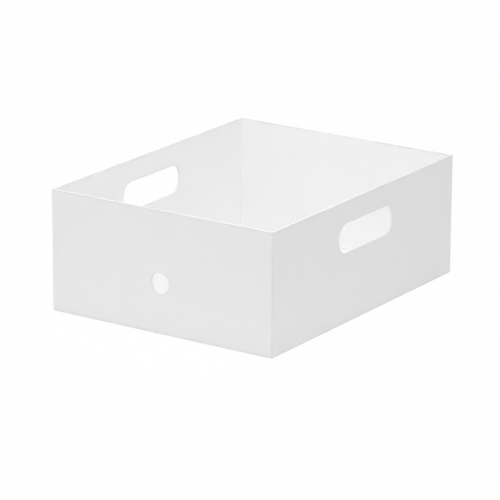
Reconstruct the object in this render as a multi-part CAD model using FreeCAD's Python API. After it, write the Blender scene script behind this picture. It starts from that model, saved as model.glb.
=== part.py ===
import FreeCAD, Part
import os

# File storage box: an open-topped box of flat, rigid polypropylene panels for A4 folders laid flat. It rests on
# its whole underside, is lifted by a hand hole in each side wall, and is drawn off a shelf by the finger hole in
# its front wall. The floor and the four walls are separate panels, glued in the joints described below.
#
# All lengths are millimetres. The origin is the centre of the underside. +X is the box's right as seen from its
# front, -Y is its front and +Z is up.

Vector = FreeCAD.Vector

# Overall size, outside
width = 250.0
depth = 320.0
height = 120.0

# Panels
wall_thickness = 2.5
floor_thickness = 2.5

# Corner joints: the front and rear panels run across the full width. A rebate behind each of their ends takes
# the end of a side panel, and leaves a lip of this thickness in front of it. The seam lies in the corner's curve.
lip_thickness = 1.0

# Floor joint: a tongue round the top of the floor's edge sits in a groove round the inside of the four walls
tongue_thickness = 1.2
tongue_length = 1.2
groove_clearance = 0.1

# Rounded edges
corner_radius = 2.0
rim_radius = 0.5
foot_radius = 0.8
hole_edge_radius = 0.5

# Hand holes, centred on the length of the side walls
hand_hole_length = 95.0
hand_hole_height = 28.5
hand_hole_corner_radius = 13.0
hand_hole_below_rim = 36.5

# Finger hole, centred on the width of the front wall
finger_hole_diameter = 20.0
finger_hole_above_base = 49.5

# How far a cutting tool runs past the faces that it cuts, and the size below which an edge counts as flat
overrun = 5.0
flatness = 0.01

inner_width = width - 2 * wall_thickness
inner_depth = depth - 2 * wall_thickness

FRONT = -1
REAR = 1
LEFT = -1
RIGHT = 1


def block(low, high):
    """A box between two opposite corners, given in either order."""
    corner = Vector(min(low[0], high[0]), min(low[1], high[1]), min(low[2], high[2]))
    size = Vector(abs(high[0] - low[0]), abs(high[1] - low[1]), abs(high[2] - low[2]))
    return Part.makeBox(size.x, size.y, size.z, corner)


def plate(size_x, size_y, bottom, top):
    """A flat rectangular plate about the box's centre line."""
    return block((-size_x / 2, -size_y / 2, bottom), (size_x / 2, size_y / 2, top))


def edges_at_height(solid, level):
    """The edges of a solid that lie in the level plane at one height."""
    found = []
    for edge in solid.Edges:
        span = edge.BoundBox
        if abs(span.ZMin - level) < flatness and abs(span.ZMax - level) < flatness:
            found.append(edge)
    return found


def upright_edges(solid):
    """The edges of a solid that run straight up."""
    return [edge for edge in solid.Edges if edge.BoundBox.XLength + edge.BoundBox.YLength < flatness]


def wall_ring():
    """The four walls as one ring with its upright corners, rim and foot rounded. Each wall panel is its share
    of this ring, so the panels meet flush all the way round."""
    outside = plate(width, depth, 0, height)
    outside = outside.makeFillet(corner_radius, upright_edges(outside))
    outside = outside.makeFillet(foot_radius, edges_at_height(outside, 0))
    outside = outside.makeFillet(rim_radius, edges_at_height(outside, height))
    ring = outside.cut(plate(inner_width, inner_depth, -overrun, height + overrun))
    inner_rim = []
    for edge in edges_at_height(ring, height):
        middle = edge.CenterOfMass
        if abs(middle.x) < inner_width / 2 + flatness and abs(middle.y) < inner_depth / 2 + flatness:
            inner_rim.append(edge)
    return ring.makeFillet(rim_radius, inner_rim)


def floor_groove():
    """What the groove round the inside of the walls takes out of them."""
    reach = 2 * (tongue_length + groove_clearance)
    bottom = floor_thickness - tongue_thickness
    return plate(inner_width + reach, inner_depth + reach, bottom, floor_thickness + groove_clearance)


def end_zone(direction):
    """The share of the ring that is the front or rear panel: the lip at full width, and behind it the span
    between the two side panels."""
    outer_y = direction * (depth / 2 + overrun)
    lip_y = direction * (depth / 2 - lip_thickness)
    inner_y = direction * inner_depth / 2
    full_x = width / 2 + overrun
    lip = block((-full_x, outer_y, -overrun), (full_x, lip_y, height + overrun))
    span = block((-inner_width / 2, outer_y, -overrun), (inner_width / 2, inner_y, height + overrun))
    return lip.fuse(span)


def side_zone(direction):
    """The share of the ring that is a side panel: from the front panel's lip to the rear panel's."""
    inner_x = direction * inner_width / 2
    outer_x = direction * (width / 2 + overrun)
    lip_y = depth / 2 - lip_thickness
    return block((inner_x, -lip_y, -overrun), (outer_x, lip_y, height + overrun))


def hand_hole(direction):
    """The cutter for the hand hole in one side wall. Its corners are at most half as large as the hole is high
    or long."""
    centre_z = height - hand_hole_below_rim
    half_length = hand_hole_length / 2
    half_height = hand_hole_height / 2
    inner_x = direction * (inner_width / 2 - overrun)
    outer_x = direction * (width / 2 + overrun)
    low = (inner_x, -half_length, centre_z - half_height)
    high = (outer_x, half_length, centre_z + half_height)
    cutter = block(low, high)
    corners = [edge for edge in cutter.Edges if edge.BoundBox.YLength + edge.BoundBox.ZLength < flatness]
    radius = min(hand_hole_corner_radius, half_length - flatness, half_height - flatness)
    return cutter.makeFillet(radius, corners)


def finger_hole():
    """The cutter for the round finger hole in the front wall."""
    start = Vector(0, -depth / 2 - overrun, finger_hole_above_base)
    length = wall_thickness + 2 * overrun
    return Part.makeCylinder(finger_hole_diameter / 2, length, start, Vector(0, 1, 0))


def cut_hole(panel, cutter, thin_side):
    """Cut a hole through a panel and round its edge on both faces. thin_side is the axis that the hole runs
    along, X or Y."""
    panel = panel.cut(cutter)
    reach = cutter.BoundBox
    reach.enlarge(flatness)
    rims = []
    for edge in panel.Edges:
        span = edge.BoundBox
        thickness = span.XLength if thin_side == "X" else span.YLength
        if reach.isInside(span) and thickness < flatness:
            rims.append(edge)
    return panel.makeFillet(hole_edge_radius, rims)


def floor_panel():
    """The floor, flush with the lower edges of the walls, with a tongue round the top of its edge."""
    base = plate(inner_width, inner_depth, 0, floor_thickness)
    reach = 2 * tongue_length
    tongue = plate(inner_width + reach, inner_depth + reach, floor_thickness - tongue_thickness, floor_thickness)
    return base.fuse(tongue).removeSplitter()


def make_pieces():
    """Every separate piece of the box, under its node's name."""
    walls = wall_ring().cut(floor_groove())
    front = walls.common(end_zone(FRONT))
    left = walls.common(side_zone(LEFT))
    right = walls.common(side_zone(RIGHT))
    return {
        "floor_panel": floor_panel(),
        "front_panel": cut_hole(front, finger_hole(), "Y"),
        "rear_panel": walls.common(end_zone(REAR)),
        "left_panel": cut_hole(left, hand_hole(LEFT), "X"),
        "right_panel": cut_hole(right, hand_hole(RIGHT), "X"),
    }


os.makedirs("parts", exist_ok=True)
for name, shape in make_pieces().items():
    solid = shape.Solids[0]
    solid.exportStep(os.path.join("parts", name + ".step"))
    print(name, "solids", len(shape.Solids), "valid", solid.isValid(), "volume", round(solid.Volume, 1))
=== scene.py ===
import bpy
import math
from mathutils import Matrix, Vector


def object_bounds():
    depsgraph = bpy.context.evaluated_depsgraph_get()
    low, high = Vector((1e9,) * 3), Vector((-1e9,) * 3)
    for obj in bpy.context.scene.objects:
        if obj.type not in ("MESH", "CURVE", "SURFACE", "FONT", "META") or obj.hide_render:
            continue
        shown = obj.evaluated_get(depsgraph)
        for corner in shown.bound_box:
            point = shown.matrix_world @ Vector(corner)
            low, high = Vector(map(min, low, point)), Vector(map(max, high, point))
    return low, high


# A white file storage box for A4 folders laid flat, put together from five flat panels. Everything is in
# metres. The origin is the centre of the underside. +X is the box's right as seen from its front, -Y is its
# front and +Z is up.
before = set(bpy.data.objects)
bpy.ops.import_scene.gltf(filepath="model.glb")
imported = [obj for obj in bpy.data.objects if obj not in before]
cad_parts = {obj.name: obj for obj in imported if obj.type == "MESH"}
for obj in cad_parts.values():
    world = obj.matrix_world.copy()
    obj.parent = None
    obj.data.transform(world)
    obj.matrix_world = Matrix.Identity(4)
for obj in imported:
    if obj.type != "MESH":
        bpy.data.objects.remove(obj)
cad_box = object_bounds()
bpy.ops.object.select_all(action="DESELECT")


# Front panel. The wall that faces out of the shelf: flat white polypropylene with a fine satin-matt moulded
# surface. It has the round finger hole, and its two ends lap the ends of the side panels, where it is glued
# inside the rounding of the corners.
half_width, half_depth, box_height = cad_box[1]
middle_height = box_height / 2
finger_hole_radius = 0.010
finger_hole_height = 0.0495


def add_node(tree, kind, inputs, **settings):
    """One shader node. Each input, by its name or place, gets a value or another node's output."""
    made = tree.nodes.new("ShaderNode" + kind)
    for key, value in settings.items():
        setattr(made, key, value)
    for key, value in inputs.items():
        if isinstance(value, bpy.types.NodeSocket):
            tree.links.new(value, made.inputs[key])
        else:
            made.inputs[key].default_value = value
    return made


def calculate(tree, operation, *values, clamp=False):
    """The result of a maths node."""
    return add_node(tree, "Math", dict(enumerate(values)), operation=operation, use_clamp=clamp).outputs[0]


def new_group(name, positions, numbers, results):
    """A node group with its named inputs, which are positions and then numbers, and its named results."""
    tree = bpy.data.node_groups.new(name, "ShaderNodeTree")
    for label in positions:
        tree.interface.new_socket(name=label, in_out="INPUT", socket_type="NodeSocketVector")
    for label in numbers:
        tree.interface.new_socket(name=label, in_out="INPUT", socket_type="NodeSocketFloat")
    for label in results:
        tree.interface.new_socket(name=label, in_out="OUTPUT", socket_type="NodeSocketFloat")
    given = tree.nodes.new("NodeGroupInput").outputs
    result = tree.nodes.new("NodeGroupOutput").inputs
    return tree, given, result


def noise(tree, position, feature_size, detail=1.0, roughness=0.5):
    """Noise from 0 to 1 whose features have the size that a socket gives."""
    scale = calculate(tree, "DIVIDE", 1.0, feature_size)
    inputs = {"Vector": position, "Scale": scale, "Detail": detail, "Roughness": roughness}
    return add_node(tree, "TexNoise", inputs).outputs["Fac"]


def make_moulded_surface():
    """The skin that a spark-eroded mould leaves: a fine even grain over the slow waves of a wall that has
    shrunk as it cooled, and the cloudy pattern in which the plastic flowed. Height is in metres, and Flow and
    Mattness are from 0 to 1."""
    tree, given, result = new_group(
        "moulded_surface",
        ["Position"],
        ["Grain Size", "Grain Height", "Wave Size", "Wave Height", "Flow Size"],
        ["Height", "Flow", "Mattness"],
    )
    grain = noise(tree, given["Position"], given["Grain Size"], detail=2.0, roughness=0.6)
    waves = noise(tree, given["Position"], given["Wave Size"])
    flow = noise(tree, given["Position"], given["Flow Size"], detail=3.0)
    wave_height = calculate(tree, "MULTIPLY", waves, given["Wave Height"])
    height = calculate(tree, "MULTIPLY_ADD", grain, given["Grain Height"], wave_height)
    tree.links.new(height, result["Height"])
    tree.links.new(flow, result["Flow"])
    tree.links.new(calculate(tree, "MULTIPLY", grain, flow), result["Mattness"])
    return tree


moulded_surface = make_moulded_surface()
moulded_skin = {
    "Grain Size": 0.0004,
    "Grain Height": 0.00003,
    "Wave Size": 0.07,
    "Wave Height": 0.0003,
    "Flow Size": 0.03,
}


def make_slide_marks():
    """Fine straight rubs along Y, where the box has slid on a shelf or folders have slid in it, in patches.
    Cut is the noise level above which a rub shows, and Soft the range over which it comes up to 1."""
    tree, given, result = new_group(
        "slide_marks",
        ["Position"],
        ["Mark Length", "Mark Width", "Patch Size", "Cut", "Soft"],
        ["Marks"],
    )
    axes = add_node(tree, "SeparateXYZ", {"Vector": given["Position"]}).outputs
    squeeze = calculate(tree, "DIVIDE", given["Mark Width"], given["Mark Length"])
    along = calculate(tree, "MULTIPLY", axes["Y"], squeeze)
    drawn = add_node(tree, "CombineXYZ", {"X": axes["X"], "Y": along, "Z": axes["Z"]}).outputs["Vector"]
    found = 1.0
    for position, size in ((drawn, "Mark Width"), (given["Position"], "Patch Size")):
        above_cut = calculate(tree, "SUBTRACT", noise(tree, position, given[size]), given["Cut"])
        strength = calculate(tree, "DIVIDE", above_cut, given["Soft"], clamp=True)
        found = calculate(tree, "MULTIPLY", found, strength)
    tree.links.new(found, result["Marks"])
    return tree


slide_marks = make_slide_marks()
faint_rubs = {
    "Mark Length": 0.06,
    "Mark Width": 0.0005,
    "Patch Size": 0.05,
    "Cut": 0.52,
    "Soft": 0.15,
}


def make_near_outline():
    """How near a point is to the outline of a rounded rectangle, from 0 at the band's width away to 1 on it,
    steeper towards it. The rectangle lies in the plane of the two coordinates given, about their zero."""
    tree, given, result = new_group(
        "near_outline",
        [],
        ["Across", "Up", "Half Length", "Half Height", "Corner Radius", "Band"],
        ["Nearness"],
    )
    past = {}
    for place, half in (("Across", "Half Length"), ("Up", "Half Height")):
        straight = calculate(tree, "SUBTRACT", given[half], given["Corner Radius"])
        past[place] = calculate(tree, "SUBTRACT", calculate(tree, "ABSOLUTE", given[place]), straight)
    beside = calculate(tree, "MAXIMUM", past["Across"], 0.0)
    above = calculate(tree, "MAXIMUM", past["Up"], 0.0)
    beside_squared = calculate(tree, "MULTIPLY", beside, beside)
    both_squared = calculate(tree, "MULTIPLY_ADD", above, above, beside_squared)
    outside = calculate(tree, "SQRT", both_squared)
    inside = calculate(tree, "MINIMUM", calculate(tree, "MAXIMUM", past["Across"], past["Up"]), 0.0)
    signed = calculate(tree, "SUBTRACT", calculate(tree, "ADD", outside, inside), given["Corner Radius"])
    share = calculate(tree, "DIVIDE", calculate(tree, "ABSOLUTE", signed), given["Band"])
    near = calculate(tree, "SUBTRACT", 1.0, share, clamp=True)
    tree.links.new(calculate(tree, "MULTIPLY", near, near), result["Nearness"])
    return tree


near_outline = make_near_outline()


def outline(across, up, centre, half_size, radius, band, strength=1.0):
    """A rounded rectangle in the plane of two axes, with how far and how strongly it changes what is near."""
    return {
        "across": across,
        "up": up,
        "centre": centre,
        "half_size": half_size,
        "radius": radius,
        "band": band,
        "strength": strength,
    }


def nearest(tree, axes, outlines):
    """How near a point is to the nearest of some outlines, each times its strength."""
    found = 0.0
    for edge in outlines:
        sockets = {
            "Across": calculate(tree, "SUBTRACT", axes[edge["across"]], edge["centre"][0]),
            "Up": calculate(tree, "SUBTRACT", axes[edge["up"]], edge["centre"][1]),
            "Half Length": edge["half_size"][0],
            "Half Height": edge["half_size"][1],
            "Corner Radius": edge["radius"],
            "Band": edge["band"],
        }
        nearness = add_node(tree, "Group", sockets, node_tree=near_outline).outputs["Nearness"]
        strong = calculate(tree, "MULTIPLY", nearness, edge["strength"])
        found = calculate(tree, "MAXIMUM", found, strong)
    return found


def weighted_sum(tree, effects, shares):
    """The sum of the effects that have a share, each times its share, from 0 to 1."""
    total = 0.0
    for effect, share in shares.items():
        total = calculate(tree, "MULTIPLY_ADD", effects[effect], share, total, clamp=True)
    return total


def mix_colours(tree, share, first, second):
    """The first colour where the share is 0, and the second where it is 1. A Mix node's colour sockets have
    the same names as its number sockets, so they are given by their places."""
    share_place, first_place, second_place, result_place = 0, 6, 7, 2
    inputs = {share_place: share, first_place: first, second_place: second}
    return add_node(tree, "Mix", inputs, data_type="RGBA").outputs[result_place]


def new_material(name):
    """An empty material, and its node tree."""
    material = bpy.data.materials.new(name)
    material.use_nodes = True
    material.node_tree.nodes.clear()
    return material, material.node_tree


# The flow of the plastic, the rubs, the seams, a darker band along the floor's edges, and wear with painted
# shade along the rim, the foot, the upright corners and the hole edges take its clean white towards the shade
# colour, and handling polishes its surface, each effect by its share. Edges wear and are painted darker in
# patches, least where the flow is 0.
polypropylene_white = (0.935, 0.935, 0.935, 1)
polypropylene_shade = (0.74, 0.74, 0.73, 1)
refractive_index = 1.49
# The edge wear's share of the shade colour is painted shade on the rim, the foot, the upright corners and the
# hole edges.
shading = {"flow": 0.12, "marks": 0.12, "wear_and_painted_shade": 0.90, "seam": 0.50}
polish = {"wear_and_painted_shade": 0.14, "touch": 0.07, "marks": 0.10}
least_roughness = 0.46
roughness_range = 0.30
least_wear_and_shade = 0.1
wear_and_shade_range = 1.6
seam_depth = 0.00006


def polypropylene(name, shift, worn_and_shaded=(), touched=(), seams=(), rubbed=0.0, painted_shade_all_over=0.0):
    """The white polypropylene of one panel. The shift moves its pattern so that no two panels are alike. The
    first list holds the edges that handling has polished and that are painted darker, which is painted shade
    on the rim, the foot, the upright corners and the hole edges. Touched lists those round which fingers have
    polished it, and seams those where it meets the next panel or is darker in a band along its edge. Rubbed
    is how strongly sliding has marked it. The last number is painted shade: how far all of it is taken
    towards the shade colour, for a panel that faces up into the light."""
    material, tree = new_material(name)
    place = add_node(tree, "TexCoord", {}).outputs["Object"]
    shifted = add_node(tree, "Mapping", {"Vector": place, "Location": shift}).outputs["Vector"]
    axes = add_node(tree, "SeparateXYZ", {"Vector": place}).outputs
    skin = {"Position": shifted, **moulded_skin}
    surface = add_node(tree, "Group", skin, node_tree=moulded_surface).outputs
    rubs = {"Position": shifted, **faint_rubs}
    rubbing = add_node(tree, "Group", rubs, node_tree=slide_marks).outputs["Marks"]
    patchy = calculate(tree, "MULTIPLY_ADD", surface["Flow"], wear_and_shade_range, least_wear_and_shade)
    effects = {
        "flow": surface["Flow"],
        "marks": calculate(tree, "MULTIPLY", rubbing, rubbed),
        # Along the listed edges the colour takes painted shade and the surface is polished by wear.
        "wear_and_painted_shade": calculate(tree, "MULTIPLY", nearest(tree, axes, worn_and_shaded), patchy, clamp=True),
        "touch": nearest(tree, axes, touched),
        "seam": nearest(tree, axes, seams),
    }
    # Painted shade over the whole panel is added to the effects here.
    shade = calculate(tree, "ADD", weighted_sum(tree, effects, shading), painted_shade_all_over, clamp=True)
    colour = mix_colours(tree, shade, polypropylene_white, polypropylene_shade)
    unpolished = calculate(tree, "MULTIPLY_ADD", surface["Mattness"], roughness_range, least_roughness)
    roughness = calculate(tree, "SUBTRACT", unpolished, weighted_sum(tree, effects, polish), clamp=True)
    groove = calculate(tree, "MULTIPLY", effects["seam"], seam_depth)
    height = calculate(tree, "SUBTRACT", surface["Height"], groove)
    relief = add_node(tree, "Bump", {"Height": height, "Strength": 1.0, "Distance": 1.0}).outputs["Normal"]
    plastic = {"Base Color": colour, "Roughness": roughness, "IOR": refractive_index, "Normal": relief}
    shader = add_node(tree, "BsdfPrincipled", plastic).outputs["BSDF"]
    add_node(tree, "OutputMaterial", {"Surface": shader})
    return material


def finish_panel(node, material):
    """Gives a panel its finish in place of the plain one that it came with."""
    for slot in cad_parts[node].material_slots:
        slot.material = material


# The rim and the foot are worn and painted darker all the way round, and the upright corners and the holes
# about half as much. The darkening is painted shade: on the rim, which faces up into the light, along the
# foot, where the box meets the floor, and at the upright corners and the hole edges.
# The rectangle for each pair of opposite edges runs past the box on its other two sides.
square = 0
worn_and_shaded_band = 0.0025
light_wear_and_shade = 0.55
finger_touch_band = 0.010
box_middle = (0, middle_height)
past_the_sides = (2 * half_width, middle_height)
past_rim_and_foot = (half_width, 2 * middle_height)
rim_and_foot = outline("X", "Z", box_middle, past_the_sides, square, worn_and_shaded_band)
front_uprights = outline("X", "Z", box_middle, past_rim_and_foot, square, worn_and_shaded_band, light_wear_and_shade)
finger_hole_half_size = (finger_hole_radius, finger_hole_radius)
finger_hole = ("X", "Z", (0, finger_hole_height), finger_hole_half_size, finger_hole_radius)
front_finish = polypropylene(
    "front_polypropylene",
    shift=(0.0, 0.0, 0.0),
    # Rim, foot, upright corners and finger-hole edge: wear with painted shade.
    worn_and_shaded=[rim_and_foot, front_uprights, outline(*finger_hole, worn_and_shaded_band, light_wear_and_shade)],
    touched=[outline(*finger_hole, finger_touch_band)],
    rubbed=0.2,
)
finish_panel("front_panel", front_finish)


# Rear panel. The plain wall at the far end of the shelf, of the same polypropylene and glued to the side
# panels in the same way as the front panel.
rear_finish = polypropylene(
    "rear_polypropylene",
    shift=(0.31, 0.17, 0.05),
    # The rear panel's rim, foot and upright corners get the same wear and painted shade.
    worn_and_shaded=[rim_and_foot, front_uprights],
    rubbed=0.3,
)
finish_panel("rear_panel", rear_finish)


# Side panels. Two walls of the same polypropylene, let into the ends of the front and rear panels, behind
# whose lips the seams show as hairlines. Each has a hand hole to lift the box by, with rounded corners and an
# edge rounded on both faces.
lip_thickness = 0.001
seam_width = 0.0002
hand_hole_length = 0.095
hand_hole_height = 0.0285
hand_hole_corner_radius = 0.013
hand_hole_middle = (0, 0.0835)
hand_touch_band = 0.016
between_lips = (2 * half_width, half_depth - lip_thickness)
end_seams = outline("X", "Y", (0, 0), between_lips, square, seam_width)
side_past_rim_and_foot = (half_depth, 2 * middle_height)
# The side panels' rim, foot, upright corners and hand-hole edges get the same wear and painted shade.
side_uprights = outline("Y", "Z", box_middle, side_past_rim_and_foot, square, worn_and_shaded_band, light_wear_and_shade)
hand_hole_half_size = (hand_hole_length / 2, hand_hole_height / 2)
hand_hole = ("Y", "Z", hand_hole_middle, hand_hole_half_size, hand_hole_corner_radius)
for side, side_shift in (("left", (0.52, 0.08, 0.23)), ("right", (0.11, 0.44, 0.37))):
    side_finish = polypropylene(
        side + "_polypropylene",
        shift=side_shift,
        worn_and_shaded=[rim_and_foot, side_uprights, outline(*hand_hole, worn_and_shaded_band, light_wear_and_shade)],
        touched=[outline(*hand_hole, hand_touch_band)],
        seams=[end_seams],
        rubbed=0.8,
    )
    finish_panel(side + "_panel", side_finish)


# Floor panel. The bottom of the box, of the same polypropylene, which the folders lie on. Its tongue sits in
# a groove round the four walls, and its underside is flush with their lower edges and rests on the shelf.
wall_thickness = 0.0025
floor_edge_band = 0.004
floor_edge_strength = 0.15
inner_half_size = (half_width - wall_thickness, half_depth - wall_thickness)
floor_seam = outline("X", "Y", (0, 0), inner_half_size, square, seam_width)
# The floor is darker in a band along the foot of the walls.
floor_edge_darkening = outline("X", "Y", (0, 0), inner_half_size, square, floor_edge_band, floor_edge_strength)
floor_finish = polypropylene(
    "floor_polypropylene",
    shift=(0.73, 0.29, 0.61),
    seams=[floor_seam, floor_edge_darkening],
    rubbed=1.0,
    # Painted shade: the whole floor panel faces up into the lamps and is made darker all over.
    painted_shade_all_over=0.175,
)
finish_panel("floor_panel", floor_finish)


# Floor and surround. A white sweep in a photo studio. What looks at it directly or in a reflection sees it
# white, with a trace of the box's shadow, and the light that it throws back on the box is that of plain
# white board.
sweep_size = 9.0
shadow_share = 0.04
board_white = (0.9, 0.9, 0.9, 1)
pure_white = (1, 1, 1, 1)


def seen_directly(tree):
    """1 where the camera, a reflection or a view through something clear sees a surface, and 0 elsewhere."""
    path = add_node(tree, "LightPath", {}).outputs
    rays = calculate(tree, "MAXIMUM", path["Is Camera Ray"], path["Is Glossy Ray"])
    return calculate(tree, "MAXIMUM", rays, path["Is Transmission Ray"])


def mix_shaders(tree, share, first, second):
    """The first shader where the share is 0, and the second where it is 1."""
    return add_node(tree, "MixShader", {0: share, 1: first, 2: second}).outputs["Shader"]


bpy.ops.mesh.primitive_plane_add(size=sweep_size, location=(0, 0, 0))
sweep = bpy.context.active_object
sweep.name = "studio_sweep"
board, board_tree = new_material("white_board")
matt_board = add_node(board_tree, "BsdfDiffuse", {"Color": board_white}).outputs["BSDF"]
white = add_node(board_tree, "Emission", {"Color": pure_white, "Strength": 1.0}).outputs["Emission"]
seen_board = mix_shaders(board_tree, shadow_share, white, matt_board)
board_shader = mix_shaders(board_tree, seen_directly(board_tree), matt_board, seen_board)
add_node(board_tree, "OutputMaterial", {"Surface": board_shader})
sweep.data.materials.append(board)


# Studio light. An even white surround, and softboxes above and beside the box. A white box lights its own
# inside, so light is followed until it has faded.
surround_light = 0.64
scene = bpy.context.scene
scene.cycles.max_bounces = 16
scene.cycles.diffuse_bounces = 12
world = bpy.data.worlds.new("studio")
scene.world = world
world.use_nodes = True
world_tree = world.node_tree
world_tree.nodes.clear()
seen_world = seen_directly(world_tree)
light_level = calculate(world_tree, "MULTIPLY_ADD", seen_world, 1 - surround_light, surround_light)
surround = add_node(world_tree, "Background", {"Color": pure_white, "Strength": light_level})
add_node(world_tree, "OutputWorld", {"Surface": surround.outputs["Background"]})


def direction(azimuth, elevation):
    """The way out from the box. Azimuth 0 is to its front and 90 to its right, and elevation is the climb."""
    turn = math.radians(azimuth)
    rise = math.radians(elevation)
    return Vector((math.sin(turn) * math.cos(rise), -math.cos(turn) * math.cos(rise), math.sin(rise)))


def softbox(name, azimuth, elevation, distance, size, power):
    """A square lamp that faces the middle of the box."""
    lamp = bpy.data.lights.new(name, "AREA")
    lamp.shape = "SQUARE"
    lamp.size = size
    lamp.energy = power
    stand = bpy.data.objects.new(name, lamp)
    stand.visible_camera = False
    scene.collection.objects.link(stand)
    away = direction(azimuth, elevation)
    stand.location = Vector((0, 0, middle_height)) + away * distance
    stand.rotation_euler = (-away).to_track_quat("-Z", "Y").to_euler()


softbox("softbox_above", azimuth=45, elevation=75, distance=0.8, size=0.4, power=2.2)
softbox("softbox_front", azimuth=20, elevation=55, distance=2.0, size=0.5, power=2.0)
softbox("softbox_left", azimuth=-45, elevation=15, distance=1.5, size=1.0, power=0.8)
softbox("softbox_left_high", azimuth=-45, elevation=50, distance=1.5, size=1.0, power=1.4)
softbox("softbox_rear_left", azimuth=-135, elevation=15, distance=1.5, size=1.0, power=2.7)


# Camera. A long lens in front of the box's right corner and a little above it, aimed at the middle of the
# picture.
view_azimuth = 33.776
view_elevation = 17.153
view_roll = math.radians(0.280)
view_distance = 3.1416
view_aim = Vector((-0.0046, -0.0031, 0.0412))
lens_length = 234.17
film_width = 36.0
camera_data = bpy.data.cameras.new("camera")
camera_data.lens = lens_length
camera_data.sensor_width = film_width
camera = bpy.data.objects.new("camera", camera_data)
scene.collection.objects.link(camera)
view_back = direction(view_azimuth, view_elevation)
camera.location = view_aim + view_back * view_distance
level_view = (-view_back).to_track_quat("-Z", "Y").to_matrix()
camera.rotation_euler = (level_view @ Matrix.Rotation(view_roll, 3, "Z")).to_euler()
scene.camera = camera
scene.view_settings.view_transform = "Standard"
